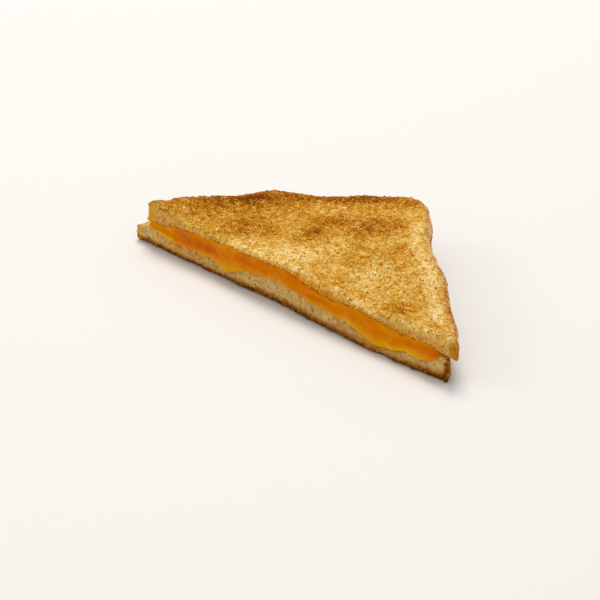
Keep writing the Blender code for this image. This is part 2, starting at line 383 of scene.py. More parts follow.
def stripPlaces(outline, climb, rows):
    # corners of each quad of one row of the edge: arc length across, profile length down
    run = outline["run"]
    crust = outline["crustLength"]
    start, end = run[:-1], run[1:]
    centre = (start + end) / 2
    strip = np.where(centre > crust, 0, np.where(centre < crust / 2, 1, 2))
    origin = np.array([crust, 0.0, crust / 2])[strip]
    top = np.array(mapPlan["stripRows"])[strip]
    scale = mapPlan["scale"]
    left = 0.03 + (start - origin) * scale
    right = 0.03 + (end - origin) * scale
    low, high = climb[rows], climb[rows + 1]
    lowAfter, highAfter = np.roll(low, -1), np.roll(high, -1)
    corners = [(left, low), (right, lowAfter), (right, highAfter), (left, high)]
    return np.stack([np.stack([u, top - depth * scale], 1) for u, depth in corners], 1)


def ringMesh(name, outline, rings, mainFace):
    # skins the rings, closes both ends with a fan to one point, and gives the piece its own flat map
    starts = np.concatenate([[0], np.cumsum([len(ring["points"]) for ring in rings])])
    poleBelow, poleAbove = starts[-1], starts[-1] + 1
    poles = [[*middle, rings[0]["points"][:, 2].mean()], [*middle, rings[-1]["points"][:, 2].mean()]]
    points = np.vstack([ring["points"] for ring in rings] + [poles])
    edgeRows = [k for k, ring in enumerate(rings) if ring["kind"] == "edge"]
    edgePoints = np.stack([rings[k]["points"] for k in edgeRows])
    climb = np.concatenate([np.zeros((1, edgePoints.shape[1])),
                            np.cumsum(np.linalg.norm(np.diff(edgePoints, axis=0), axis=2), 0)])
    climb = climb[-1] - climb
    faces, places = [], []
    first = np.arange(len(rings[0]["points"]))
    last = np.arange(len(rings[-1]["points"]))
    fans = [(np.stack([(first + 1) % len(first), first, np.full(len(first), poleBelow)], 1), False),
            (np.stack([starts[-2] + last, starts[-2] + (last + 1) % len(last), np.full(len(last), poleAbove)], 1), True)]
    for fan, above in fans:
        faces.append(fan)
        places.append(flatPlace(points[fan.ravel()], above == (mainFace == "top")).reshape(-1, 3, 2))
    for k in range(len(rings) - 1):
        onEdge = rings[k]["kind"] == "edge" and rings[k + 1]["kind"] == "edge"
        above = rings[k + 1]["kind"] == "top"
        for group in ringFaces(rings[k], rings[k + 1], starts[k], starts[k + 1]):
            faces.append(group)
            if onEdge:
                places.append(stripPlaces(outline, climb, k - edgeRows[0]))
            else:
                places.append(flatPlace(points[group.ravel()], above == (mainFace == "top")).reshape(*group.shape, 2))
    mesh = bpy.data.meshes.new(name)
    sizes = np.concatenate([np.full(len(group), group.shape[1]) for group in faces])
    corners = np.concatenate([group.ravel() for group in faces])
    mesh.vertices.add(len(points))
    mesh.vertices.foreach_set("co", (points * mm).astype(np.float32).ravel())
    mesh.loops.add(len(corners))
    mesh.loops.foreach_set("vertex_index", corners.astype(np.int32))
    mesh.polygons.add(len(sizes))
    mesh.polygons.foreach_set("loop_start", np.concatenate([[0], np.cumsum(sizes)[:-1]]).astype(np.int32))
    mesh.update(calc_edges=True)
    mesh.validate()
    flatMap = mesh.uv_layers.new(name="OFBake")
    flatMap.uv.foreach_set("vector", np.concatenate([place.reshape(-1, 2) for place in places]).astype(np.float32).ravel())
    mesh.shade_smooth()
    piece = bpy.data.objects.new(name, mesh)
    bpy.context.scene.collection.objects.link(piece)
    poleFacts = {"step": 1, "wall": np.array([0.0, 1.0]), "depth": np.full(2, innerRadius)}
    facts = {"points": points,
             "cut": np.concatenate([outline["cut"][::ring["step"]] for ring in rings] + [np.zeros(2)]),
             "wall": np.concatenate([ring["wall"] for ring in rings] + [poleFacts["wall"]]),
             "depth": np.concatenate([ring["depth"] for ring in rings] + [poleFacts["depth"]]),
             "farSide": np.concatenate([smoothStep(7, -7, outline["points"][::ring["step"], 0]) for ring in rings] + [np.zeros(2)])}
    return piece, facts


def meshNormals(piece):
    normals = np.zeros(len(piece.data.vertices) * 3, np.float32)
    piece.data.vertex_normals.foreach_get("vector", normals)
    return normals.reshape(-1, 3).astype(float)


def movePoints(piece, points):
    piece.data.vertices.foreach_set("co", (points * mm).astype(np.float32).ravel())
    piece.data.update()


def setAttribute(piece, name, values):
    layer = piece.data.attributes.new(name, "FLOAT", "POINT")
    layer.data.foreach_set("value", np.clip(values, 0.0, 1.0).astype(np.float32))


# Browning as it lies on the upper face: millimetres from the near crust, from the far crust, two radii, strength.
upperFace = {
    "level": 0.43,
    "patches": ((22, 4, 8, 4, 0.28), (34, 5, 6, 4, 0.24), (52, 3, 12, 4, 0.20), (68, 2, 9, 5, 0.36),
                (86, 2, 14, 5, 0.30), (74, 20, 13, 7, 0.19), (66, 26, 6, 6, 0.10), (46, 29, 6, 6, 0.22),
                (36, 23, 9, 4, 0.14), (26, 29, 9, 7, 0.20), (16, 27, 6, 9, 0.16), (15, 57, 5, 12, 0.06),
                (30, 47, 6, 6, 0.12), (46, 52, 4, 3, 0.16), (19, 86, 8, 8, 0.18), (38, 66, 8, 6, 0.06),
                (60, 40, 14, 8, -0.21), (53, 50, 8, 9, -0.24), (72, 32, 9, 4, -0.16), (27, 61, 7, 6, -0.22),
                (37, 43, 6, 5, -0.12), (10, 101, 6, 9, -0.06), (8, 7, 8, 6, 0.14),
                (26, 6, 12, 9, 0.14), (45, 3, 9, 5, 0.12), (80, 4, 9, 6, 0.08), (48, 32, 6, 5, 0.12),
                (15, 66, 9, 12, -0.13), (30, 71, 9, 8, -0.14), (10, 88, 6, 8, -0.10), (16, 41, 12, 5, -0.12),
                (42, 60, 5, 5, -0.08), (45, 8, 50, 9, 0.06), (35, 25, 6, 6, 0.07), (55, 35, 6, 5, 0.12),
                (15, 95, 7, 7, -0.08), (5, 15, 5, 6, -0.06)),
    "blotches": ((9.0, 0.10), (4.0, 0.10), (1.9, 0.15)),     # size and strength of the uneven browning
    "paleRims": (0.24, 0.02),        # beside the near crust and beside the far crust
    "paleCut": 0.16,
    "paintedLightCrumb": ((52, 26, 1.3), (-78, 8, 0.6)),      # painted light: the torn crumb is made paler where more light falls on it, at the cut's right part and at the left tip
    "caps": ((5.0, 0.36), (4.6, 0.66)),      # width and browning of the crust's end at each tip
    "capStainAndGlow": (0.75, 0.35),        # as golden as cheese, at the left and at the right tip; partly painted light, standing in for light glowing through the thin tips
    "wraps": ((-50, 18, 0.9),),                       # where the toasted skin was pressed down over the cut
    "tears": ((6, 46, 0.30),),                        # and where it tore back from the edge
    "scorchAndShade": 0.0,
    "thickness": 5.0,
    "shoulder": 0.42,
    "crustToneAndShade": (0.16, 0.78),       # at the bottom and at the top of the crust; darker towards the bottom, partly painted shade
    "stain": 0.50,                   # cheese smeared over the cut
    "stains": ((8, 32, 0.45), (-36, 30, 0.22), (60, 14, 0.12)),      # and where there is more: station, half width, share
    "crustPale": ((44, 22, 0.20),),    # paler stretches of the near crust, from the loaf's corner
    "farCrust": 0.32,                # the far crust is darker by this much
    "undulation": (15.0, 0.40),      # size and height of the face's slow waves
    "dimples": (4.5, 0.16),
    "poreCell": 1.9,
    "poreDepth": 0.40,
    "wrinkles": (1.8, 0.26),         # thin raised crumb walls
    "grain": (0.85, 0.07),
}
lowerFace = dict(upperFace, level=0.56, paintedLightCrumb=((58, 24, 0.8), (-76, 10, 1.2)), caps=((2.4, 0.20), (3.0, 0.82)), capStainAndGlow=(0.3, 0.0), wraps=(), tears=(), scorchAndShade=1.0,
                 thickness=9.0, shoulder=0.0, crustToneAndShade=(0.18, 0.52), stain=0.08,
                 stains=((44, 16, 0.5), (-64, 26, 0.42)), farCrust=0.0, paleCut=0.0, paleRims=(0.10, 0.10))


def browningAt(points, look, seed):
    # level + each patch's strength * exp(-(offset / radius)^2) + layered noise
    fromNear = (cutToCorner - points[:, 1] - points[:, 0]) / np.sqrt(2.0)
    fromFar = (cutToCorner - points[:, 1] + points[:, 0]) / np.sqrt(2.0)
    total = np.full(len(points), look["level"])
    for near, far, nearRadius, farRadius, strength in look["patches"]:
        square = ((fromNear - near) / nearRadius) ** 2 + ((fromFar - far) / farRadius) ** 2
        total = total + strength * np.exp(-square)
    for number, (size, strength) in enumerate(look["blotches"]):
        total = total + strength * softNoise(points, size, seed + number * 11)
    return total


def ridges(points, size, seed):
    # thin crests where gradient noise passes through zero, 0 to 1
    return np.clip(1 - np.abs(softNoise(points, size, seed)) * 3.6, 0.0, 1.0) ** 1.6


# How the torn crumb and the crust stand out, in millimetres: size of the feature, then its height.
breadRelief = {
    "tear": (5.0, 0.50),             # the knife's coarse unevenness
    "lumps": (2.2, 0.45),
    "shreds": (1.1, 0.34),
    "holes": (2.0, 0.55),
    "crustWave": (6.0, 0.32),
    "crustGrain": (1.5, 0.54),
    "crustPits": (2.2, 0.40),
    "bakedBand": (2.2, 3.2),         # the crust's colour starts this far in from the near and the far edge
    "shoulder": (0.80, 0.13),        # pale stripe under the rim, as a share of the slice's height
    "seamSmear": (5.0, 0.42),        # cheese wiped along the seam: size of the smears and strength
}


def toastHeights(spots, look, seed):
    # the fried face: slow waves and dimples, round pores, thin raised crumb walls and a fine grain
    pit = pores(spots, look["poreCell"], seed + 3, 0.55, 0.35, 0.95)
    broken = smoothStep(-0.25, 0.45, softNoise(spots, 2.6, seed + 6))
    wall = ridges(spots, look["wrinkles"][0], seed + 5) * broken
    height = (softNoise(spots, look["undulation"][0], seed + 1) * look["undulation"][1]
              + softNoise(spots, look["dimples"][0], seed + 2) * look["dimples"][1]
              - pit * look["poreDepth"] + wall * look["wrinkles"][1]
              + layeredNoise(spots, look["grain"][0], 2, seed + 9) * look["grain"][1])
    return height, pit, wall


def tornHeights(spots, relief, seed):
    # torn crumb: coarse waves, lumps, shreds and open holes
    hole = pores(spots, relief["holes"][0], seed + 27, 0.65, 0.5, 1.3)
    shred = ridges(spots * (1.3, 1.0, 0.6), relief["shreds"][0] * 1.6, seed + 25)
    height = (softNoise(spots, relief["tear"][0], seed + 21) * relief["tear"][1]
              + softNoise(spots, relief["lumps"][0], seed + 22) * relief["lumps"][1]
              + (shred - 0.3 + 0.6 * softNoise(spots, relief["shreds"][0], seed + 23)) * relief["shreds"][1]
              - hole * relief["holes"][1])
    return height, hole, shred


def crustHeights(spots, relief, seed):
    pit = pores(spots, relief["crustPits"][0], seed + 33, 0.35, 0.3, 0.9)
    return (softNoise(spots, relief["crustWave"][0], seed + 35) * relief["crustWave"][1]
            + layeredNoise(spots, relief["crustGrain"][0], 2, seed + 31) * relief["crustGrain"][1]
            - pit * relief["crustPits"][1])


def breadSurface(piece, facts, look, seed, toastUp):
    # moves each point along its normal by the relief of its zone, and stores the zones for the material
    points, depth, height = facts["points"], facts["depth"], facts["wall"]
    normal = meshNormals(piece)
    facing = normal[:, 2] if toastUp else -normal[:, 2]
    spots = points + np.array([0.0, 0.0, seed * 3.7])
    ragged = 0.22 * softNoise(spots, 2.6, seed + 45) + 0.14 * softNoise(spots, 1.1, seed + 46)
    hidden = smoothStep(0.35, 0.8, -facing)
    toast = smoothStep(0.40, 0.80, facing)
    side = np.clip(1 - toast - hidden, 0.0, 1.0)
    nearCut = facts["cut"] * smoothStep(4.5, 0.5, depth)
    tornBack = bells(points[:, 0], look["tears"])
    torn = facts["cut"] * smoothStep(0.52, 0.20, facing + ragged - tornBack) * smoothStep(6.0, 3.0, depth)
    wrapped = bells(points[:, 0], look["wraps"]) * smoothStep(0.30, 0.62, height + ragged)
    torn = torn * (1 - np.clip(wrapped, 0.0, 1.0))
    toastHeight, pit, wall = toastHeights(spots, look, seed)
    tornHeight, hole, shred = tornHeights(spots, breadRelief, seed)
    crustHeight = crustHeights(spots, breadRelief, seed)
    tipAway = np.minimum(points[:, 0] - points[:, 0].min(), points[:, 0].max() - points[:, 0])
    crustHeight = crustHeight * mix(0.4, 1.0, smoothStep(2, 12, tipAway))
    crustShare = (1 - facts["cut"]) * smoothStep(3.5, 1.5, depth) * (1 - hidden)
    tornShare = np.maximum(side * facts["cut"], 0.55 * nearCut) * (1 - hidden)
    move = mix(mix(toast * toastHeight, crustHeight, crustShare), tornHeight, tornShare)
    if not toastUp:
        move = mix(move, np.minimum(move, 0.0), toast)      # nothing may reach under the table
    movePoints(piece, points + normal * move[:, None])

    # the crust goes right round each tip, and shows there as a cap on the cut
    left, right = look["caps"]
    x = points[:, 0]
    toLeft = (x - x.min()) + 4.0 * ragged
    toRight = (x.max() - x) + 2.5 * ragged
    leftCap = smoothStep(left[0] + 1.8, left[0] - 1.6, toLeft)
    rightCap = smoothStep(right[0] + 1.2, right[0] - 1.2, toRight)
    cap = np.maximum(leftCap, rightCap) * torn
    torn = torn * (1 - cap)

    # pale rim beside the crust, paler crumbly line along the cut
    fromCorner = np.linalg.norm(points[:, :2] - (0.0, cutToCorner), axis=1)
    paleRim = np.exp(-((depth - 6.4) / 3.6) ** 2) * (1 - facts["cut"]) * smoothStep(10, 34, fromCorner)
    browning = browningAt(points, look, seed + 41)
    browning = browning - paleRim * mix(look["paleRims"][0], look["paleRims"][1], facts["farSide"])
    paleCut = look["paleCut"] * facts["cut"] * smoothStep(4.5, 1.0, depth)
    browning = browning - paleCut * smoothStep(-52, -18, points[:, 0])
    browning = mix(browning, left[1] + 0.9 * ragged, leftCap * cap)
    browning = mix(browning, right[1] + 0.9 * ragged, rightCap * cap)
    rise = height * look["thickness"]
    # the fried skin's dark rim at the foot of the cut, partly painted shade where the slice meets the table
    scorchAndShade = look["scorchAndShade"] * smoothStep(4.7, 1.7, rise + 2.2 * ragged) * facts["cut"] * smoothStep(11.0, 2.0, depth + 8.0 * ragged)
    browning = mix(browning, 0.98 + ragged, scorchAndShade)
    torn = torn * (1 - scorchAndShade) + hidden * smoothStep(4.5, 7.5, depth)

    towardsTip = smoothStep(45, 75, fromCorner) * (1 - facts["farSide"])
    band = mix(*breadRelief["bakedBand"], facts["farSide"]) + 1.3 * towardsTip
    baked = smoothStep(0.9, -0.9, depth + 3.0 * ragged - band)
    baked = baked * (1 - facts["cut"])
    shoulderAt, shoulderWidth = breadRelief["shoulder"]
    shoulder = np.exp(-((height - shoulderAt) / shoulderWidth) ** 2) * look["shoulder"] * side
    shoulder = shoulder * mix(1.0, 0.3, facts["farSide"])
    # partly painted shade: the crust is darker towards the bottom of each slice
    crustToneAndShade = mix(*look["crustToneAndShade"], smoothStep(0.36, 1.0, height))
    darker = mix(0.10 * towardsTip - bells(fromCorner, look["crustPale"]), look["farCrust"], facts["farSide"])
    crustToneAndShade = crustToneAndShade - darker * smoothStep(0.7, 0.95, height)
    # painted shade: the crust is darker in the toast's pores
    crustToneAndShade = crustToneAndShade + shoulder + 1.2 * ragged - 0.25 * pit
    stain = (look["stain"] + bells(x, look["stains"])) * torn * smoothStep(1.10, 0.45, height + ragged)
    # partly painted light: the tip caps take the cheese stain's bright gold, as if lit through
    stain = np.maximum(stain, cap * np.where(x < 0, *look["capStainAndGlow"]))
    seam = smoothStep(0.80, 0.98, height + ragged) if not toastUp else smoothStep(0.22, 0.03, height + ragged)
    smear = smoothStep(0.0, 0.5, layeredNoise(spots, breadRelief["seamSmear"][0], 2, seed + 61))
    stain = np.maximum(stain, seam * smear * breadRelief["seamSmear"][1] * (1 - facts["cut"]) * (1 - toast))
    setAttribute(piece, "browning", browning)
    setAttribute(piece, "crust", baked)
    setAttribute(piece, "crustToneAndShade", crustToneAndShade)
    setAttribute(piece, "torn", torn)
    # pits and open holes, which the material darkens as painted shade
    setAttribute(piece, "pit", mix(pit, hole, torn))
    # crests, which the material makes paler, partly as painted highlight, plus patches of painted light on the torn
    # crumb
    setAttribute(piece, "crest", mix(wall, shred, torn) + bells(x, look["paintedLightCrumb"]) * torn)
    setAttribute(piece, "stain", stain)
    return {"points": points + normal * move[:, None], "normal": normal, "torn": torn * (1 - hidden),
            "stain": stain, "scorchAndShade": scorchAndShade}


def linear(value):
    return value / 12.92 if value <= 0.04045 else ((value + 0.055) / 1.055) ** 2.4


def hexColour(text):
    # sRGB hex to linear
    return tuple(linear(int(text[k:k + 2], 16) / 255) for k in (1, 3, 5)) + (1.0,)


def addNode(tree, kind, settings=None, values=None, links=None):
    # one node with its settings, its unlinked socket values and its incoming links
    node = tree.nodes.new(kind)
    for name, value in (settings or {}).items():
        setattr(node, name, value)
    for socket, value in (values or {}).items():
        node.inputs[socket].default_value = value
    for socket, source in (links or {}).items():
        tree.links.new(source, node.inputs[socket])
    return node


def fillRamp(node, stops):
    ramp = node.color_ramp
    while len(ramp.elements) < len(stops):
        ramp.elements.new(0.5)
    for element, (place, colour) in zip(ramp.elements, stops):
        element.position = place
        element.color = hexColour(colour)
    return node


def newMaterial(name):
    material = bpy.data.materials.new(name)
    material.use_nodes = True
    tree = material.node_tree
    return material, tree, tree.nodes["Principled BSDF"]


toastFinish = {
    "toastStops": ((0.0, "#f9e7ba"), (0.09, "#f3d999"), (0.27, "#e7c16d"), (0.43, "#d6a53e"), (0.58, "#c58a1e"),
                   (0.72, "#b06c08"), (0.86, "#965200"), (1.0, "#6a3300")),
    "crumbStops": ((0.0, "#b47c36"), (0.35, "#d29d4b"), (0.65, "#e3b96b"), (1.0, "#edd190")),
    "crustStops": ((0.0, "#5c2906"), (0.3, "#96500d"), (0.6, "#bd741f"), (0.85, "#d7a258"), (1.0, "#eac58d")),
    # bright cheese gold, partly painted light for the tips that glow
    "cheeseStainAndGlow": "#efa622",
    "cellWall": 1.5,      # mm, spacing of the thin crumb walls that stand out paler on the toast, partly as painted highlight
    "fleck": 0.70,        # mm, size of the toast's finest flecks
    "fleckStrength": 0.38,
    "freckle": 1.25,      # mm, brown freckles where the toast is still pale
    "crumbGrain": 1.1,
    "crumbCell": 0.95,    # mm, spacing of the crumb's small open cells
    "crustGrain": 0.95,
    "crustMottle": 1.65,
    "sheen": "#ffcf8c",   # browned butter tints what the toast mirrors
    "grease": 0.46,       # roughness where butter soaked in
    "dry": 0.78,
}


def toastedBread(name, finish):
    # White sandwich bread fried in butter: flecked golden brown with a slight grease sheen, baked brown crust,
    # pale matt crumb where it is torn.
    material, tree, shader = newMaterial(name)
    place = addNode(tree, "ShaderNodeTexCoord").outputs["Object"]

    def attribute(title):
        return addNode(tree, "ShaderNodeAttribute", {"attribute_name": title}).outputs["Fac"]

    def noise(size, detail, rough=0.6):
        # size in millimetres of one light and one dark spot
        values = {"Scale": 1000.0 / size, "Detail": detail, "Roughness": rough}
        return addNode(tree, "ShaderNodeTexNoise", None, values, {"Vector": place}).outputs["Fac"]

    def addScaled(base, factor, value, centre=0.0):
        # base + factor * (value - centre)
        node = addNode(tree, "ShaderNodeMath", {"operation": "MULTIPLY_ADD"}, {1: factor}, {0: value})
        if isinstance(base, (int, float)):
            node.inputs[2].default_value = base - factor * centre
            return node.outputs[0]
        shifted = addNode(tree, "ShaderNodeMath", {"operation": "ADD"}, {1: -factor * centre}, {0: base})
        tree.links.new(shifted.outputs[0], node.inputs[2])
        return node.outputs[0]

    def ramp(value, stops):
        return fillRamp(addNode(tree, "ShaderNodeValToRGB", None, None, {"Fac": value}), stops).outputs["Color"]

    def blend(share, low, high):
        node = addNode(tree, "ShaderNodeMix", {"data_type": "RGBA"}, None, {0: share, 6: low})
        if isinstance(high, str):
            node.inputs[7].default_value = hexColour(high)
        else:
            tree.links.new(high, node.inputs[7])
        return node.outputs[2]

    def smooth(value, low, high):
        # 0 to 1 between the two values
        return addNode(tree, "ShaderNodeMapRange", {"interpolation_type": "SMOOTHSTEP"},
                       {"From Min": low, "From Max": high}, {"Value": value}).outputs["Result"]

    def times(first, second):
        return addNode(tree, "ShaderNodeMath", {"operation": "MULTIPLY"}, None, {0: first, 1: second}).outputs[0]

    # crumb walls: the borders of warped cells, kept only in broken strokes
    warp = addNode(tree, "ShaderNodeTexNoise", None, {"Scale": 900.0, "Detail": 1.0}, {"Vector": place}).outputs["Color"]
    bent = addNode(tree, "ShaderNodeVectorMath", {"operation": "MULTIPLY_ADD"}, {1: (0.0012, 0.0012, 0.0012)}, {0: warp, 2: place})
    cells = addNode(tree, "ShaderNodeTexVoronoi", {"feature": "DISTANCE_TO_EDGE"}, {"Scale": 1000.0 / finish["cellWall"]},
                    {"Vector": bent.outputs["Vector"]}).outputs["Distance"]
    strokes = times(smooth(cells, 0.13, 0.03), smooth(noise(1.9, 1.0), 0.46, 0.60))
    pit, crest = attribute("pit"), attribute("crest")
    fleck = noise(finish["fleck"], 2.0, 0.7)
    brown = addScaled(attribute("browning"), finish["fleckStrength"], smooth(fleck, 0.34, 0.66), 0.5)
    brown = addScaled(brown, 0.5, noise(finish["fleck"] * 3.1, 3.0), 0.5)
    # partly painted highlight: raised crests and crumb-wall strokes are made paler
    brown = addScaled(brown, -0.26, crest, 0.2)
    brown = addScaled(brown, -0.34, strokes, 0.15)
    # painted shade: the toast is browner in its pores
    brown = addScaled(brown, 0.22, pit, 0.1)
    holes = addNode(tree, "ShaderNodeTexVoronoi", {"feature": "SMOOTH_F1"},
                    {"Scale": 1000.0 / finish["crumbCell"], "Smoothness": 0.25}, {"Vector": bent.outputs["Vector"]})
    holes = times(smooth(holes.outputs["Distance"], 0.42, 0.12), smooth(noise(2.4, 2.0), 0.40, 0.58))
    crumb = addScaled(0.72, 0.9, noise(finish["crumbGrain"], 3.0), 0.5)
    # painted shade: the crumb is darker in its pits and open holes
    crumb = addScaled(crumb, -0.34, pit)
    crumb = addScaled(crumb, -0.34, holes)
    # partly painted highlight: the crumb is paler on its crests
    crumb = addScaled(crumb, 0.20, crest)
    baked = addScaled(attribute("crustToneAndShade"), finish["crustMottle"], noise(finish["crustGrain"], 3.0, 0.7), 0.5)
    baked = addScaled(baked, 0.6, noise(finish["crustGrain"] * 5.0, 2.0), 0.5)
    # painted shade: the crust is darker in the open holes
    baked = addScaled(baked, -0.30, holes, 0.2)
    freckles = times(smooth(noise(finish["freckle"], 2.0, 0.7), 0.55, 0.66), smooth(attribute("browning"), 0.46, 0.22))
    brown = addScaled(brown, 0.50, freckles)
    brown = addScaled(0.09, 0.91, brown)
    colour = blend(attribute("crust"), ramp(brown, finish["toastStops"]), ramp(baked, finish["crustStops"]))
    colour = blend(attribute("torn"), colour, ramp(crumb, finish["crumbStops"]))
    colour = blend(attribute("stain"), colour, finish["cheeseStainAndGlow"])
    tree.links.new(colour, shader.inputs["Base Color"])
    greasy = addNode(tree, "ShaderNodeMapRange", None,
                     {"From Min": 0.42, "From Max": 0.62, "To Min": finish["dry"], "To Max": finish["grease"]},
                     {"Value": noise(2.6, 2.0)})
    tree.links.new(greasy.outputs["Result"], shader.inputs["Roughness"])
    shader.inputs["IOR"].default_value = 1.45
    shader.inputs["Specular IOR Level"].default_value = 0.10      # most of the shine is lost in the open pores
    shader.inputs["Specular Tint"].default_value = hexColour(finish["sheen"])
    shader.inputs["Subsurface Weight"].default_value = 0.10
    shader.inputs["Subsurface Radius"].default_value = (1.0, 0.55, 0.25)
    shader.inputs["Subsurface Scale"].default_value = 0.0015
    heights = addScaled(addScaled(noise(0.5, 2.0), 1.3, fleck), 0.8, strokes)
    openness = addScaled(attribute("torn"), 0.6, attribute("crust"))
    heights = addScaled(heights, -1.6, times(holes, openness))
    bump = addNode(tree, "ShaderNodeBump", None, {"Strength": 0.9, "Distance": 0.00022}, {"Height": heights})
    tree.links.new(bump.outputs["Normal"], shader.inputs["Normal"])
    return material


print("making the upper slice")
breadEdges = {
    "upper": {"lowRound": (1.2, 0.7), "lowRise": (1.6, 0.8), "highRound": (3.4, 3.0), "highRise": (3.4, 3.6), "swell": 0.0},
    "lower": {"lowRound": (2.6, 1.6), "lowRise": (2.8, 2.8), "highRound": (3.0, 0.7), "highRise": (3.2, 0.8), "swell": 0.5},
    "pointsRound": 1024,
    "cutDensity": 1.15,
    "wallRows": 13,
    "roundRows": 6,
    "faceSpacing": (0.42, 0.36),
    "hiddenSpacing": (4.0, 2.0),
}


def breadSlice(name, which, bottom, top, stretch, slide, toastUp, look, seed):
    # each size of the edge is given on the crust and on the cut
    outline = sliceOutline(breadEdges["pointsRound"], breadEdges["cutDensity"])
    outline["points"] = outline["points"] * (stretch, 1.0) + (slide, 0.0)
    cut = outline["cut"]
    sizes = breadEdges[which]
    edge = {key: mix(*sizes[key], cut) for key in ("lowRound", "lowRise", "highRound", "highRise")}
    edge["swell"] = sizes["swell"] * (1 - cut) * smoothStep(0, 22, outline["points"][:, 1])
    edge["wallRows"], edge["roundRows"] = breadEdges["wallRows"], breadEdges["roundRows"]
    fine, rough = breadEdges["faceSpacing"], breadEdges["hiddenSpacing"]
    spacings = {"bottom": rough, "top": fine} if toastUp else {"bottom": fine, "top": rough}
    rings = layerRings(outline, bottom, top, edge, spacings)
    piece, facts = ringMesh(name, outline, rings, "top" if toastUp else "bottom")
    if not toastUp:
        facts["points"] = flared(facts["points"])
        movePoints(piece, facts["points"])
    return piece, breadSurface(piece, facts, look, seed, toastUp)


# Shreds of crumb that the knife left standing on the torn face.
shreds = {
    "count": 560,
    "radius": (0.16, 0.56),      # mm; most are near the smaller
    "stretch": (0.55, 1.6),      # each of the three radii varies by this
    "lumpiness": 0.42,
    "sunk": 0.55,                # of the radius, into the face
    "around": 10,                # points round each one and from pole to pole
    "rows": 7,
}


def tornShreds(name, surface, settings, seed):
    # Closed lumps: unit ball * three radii, turned at random, * (1 + noise), each set on a point of the torn face.
    # Columns round the ball, rows from pole to pole; a pole is one point.
    draw = np.random.default_rng(seed)
    count, around, rows = settings["count"], settings["around"], settings["rows"]
    choice = draw.choice(len(surface["torn"]), count, False, surface["torn"] ** 2 / np.sum(surface["torn"] ** 2))
    radius = mix(*settings["radius"], draw.random(count) ** 3)
    radii = radius[:, None] * mix(*settings["stretch"], draw.random((count, 3)))
    turn = np.linalg.qr(draw.normal(size=(count, 3, 3)))[0]
    turn = turn * np.linalg.det(turn)[:, None, None]
    across, down = np.meshgrid(np.arange(around) / around * 2 * np.pi, np.arange(1, rows) / rows * np.pi)
    ball = np.stack([np.sin(down) * np.cos(across), np.sin(down) * np.sin(across), np.cos(down)], -1).reshape(-1, 3)
    ball = np.vstack([ball, [[0, 0, 1], [0, 0, -1]]])
    rough = softNoise((ball[None] * 1.3 + choice[:, None, None] * 5.1).reshape(-1, 3), 1.0, seed).reshape(count, -1, 1)
    lumps = ball[None] * radii[:, None] * (1 + settings["lumpiness"] * rough)
    lumps = np.einsum("cij,cpj->cpi", turn, lumps)
    seat = surface["points"][choice] + surface["normal"][choice] * (radius * (1 - settings["sunk"]) * 0.5)[:, None]
    points = (lumps + seat[:, None]).reshape(-1, 3)
    row, column = np.divmod(np.arange((rows - 2) * around), around)
    after = (column + 1) % around
    quads = np.stack([row * around + column, (row + 1) * around + column, (row + 1) * around + after, row * around + after], 1)
    i = np.arange(around)
    north, south = (rows - 1) * around, (rows - 1) * around + 1
    last = (rows - 2) * around
    caps = np.vstack([np.stack([i, (i + 1) % around, np.full(around, north)], 1),
                      np.stack([last + (i + 1) % around, last + i, np.full(around, south)], 1)])
    starts = (np.arange(count) * len(ball))[:, None, None]
    faces = (quads[None] + starts).reshape(-1, 4).tolist() + (caps[None] + starts).reshape(-1, 3).tolist()
    mesh = bpy.data.meshes.new(name)
    mesh.from_pydata((points * mm).tolist(), [], faces)
    mesh.shade_smooth()
    piece = bpy.data.objects.new(name, mesh)
    bpy.context.scene.collection.objects.link(piece)
    each = len(ball)
    setAttribute(piece, "browning", np.repeat(0.25 + 0.4 * draw.random(count), each))
    setAttribute(piece, "torn", np.repeat(0.6 + 0.4 * draw.random(count), each))
    setAttribute(piece, "crest", np.repeat(draw.random(count), each))
    setAttribute(piece, "stain", np.repeat(surface["stain"][choice], each))
    return piece


def finishPiece(piece, material, node):
    piece.data.materials.append(material)
    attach(piece, "root")
    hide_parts(node)
    print(piece.name, "has", len(piece.data.polygons), "faces")


# The model's own frame puts the middle of its box's base at the origin, so every piece shifts with the upper slice.
plainOutline = sliceOutline(2048, 1.0)["points"]
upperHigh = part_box("bread_upper")[1]
toFrame = np.array([upperHigh.x / mm - plainOutline[:, 0].max(), upperHigh.y / mm - plainOutline[:, 1].max(), 0.0])


def shiftToFrame(piece):
    piece.data.transform(Matrix.Translation(Vector(toFrame * mm)))


breadMaterial = toastedBread("buttered toast", toastFinish)
upperToast, upperSurface = breadSlice("upper_toast", "upper", tornUpperBottom, stackTop, 1.0, 0.0, True, upperFace, 11)
upperShreds = tornShreds("upper_shreds", upperSurface, shreds, 5)
for piece in (upperToast, upperShreds):
    shiftToFrame(piece)
    finishPiece(piece, breadMaterial, "bread_upper")

print("making the lower slice")
lowerToast, lowerSurface = breadSlice("lower_toast", "lower", flatBase, tornLowerTop, sandwich["lowerStretch"],
                                      sandwich["lowerSlide"], False, lowerFace, 29)
lowerShreds = tornShreds("lower_shreds", lowerSurface, shreds, 8)
for piece in (lowerToast, lowerShreds):
    shiftToFrame(piece)
    finishPiece(piece, breadMaterial, "bread_lower")

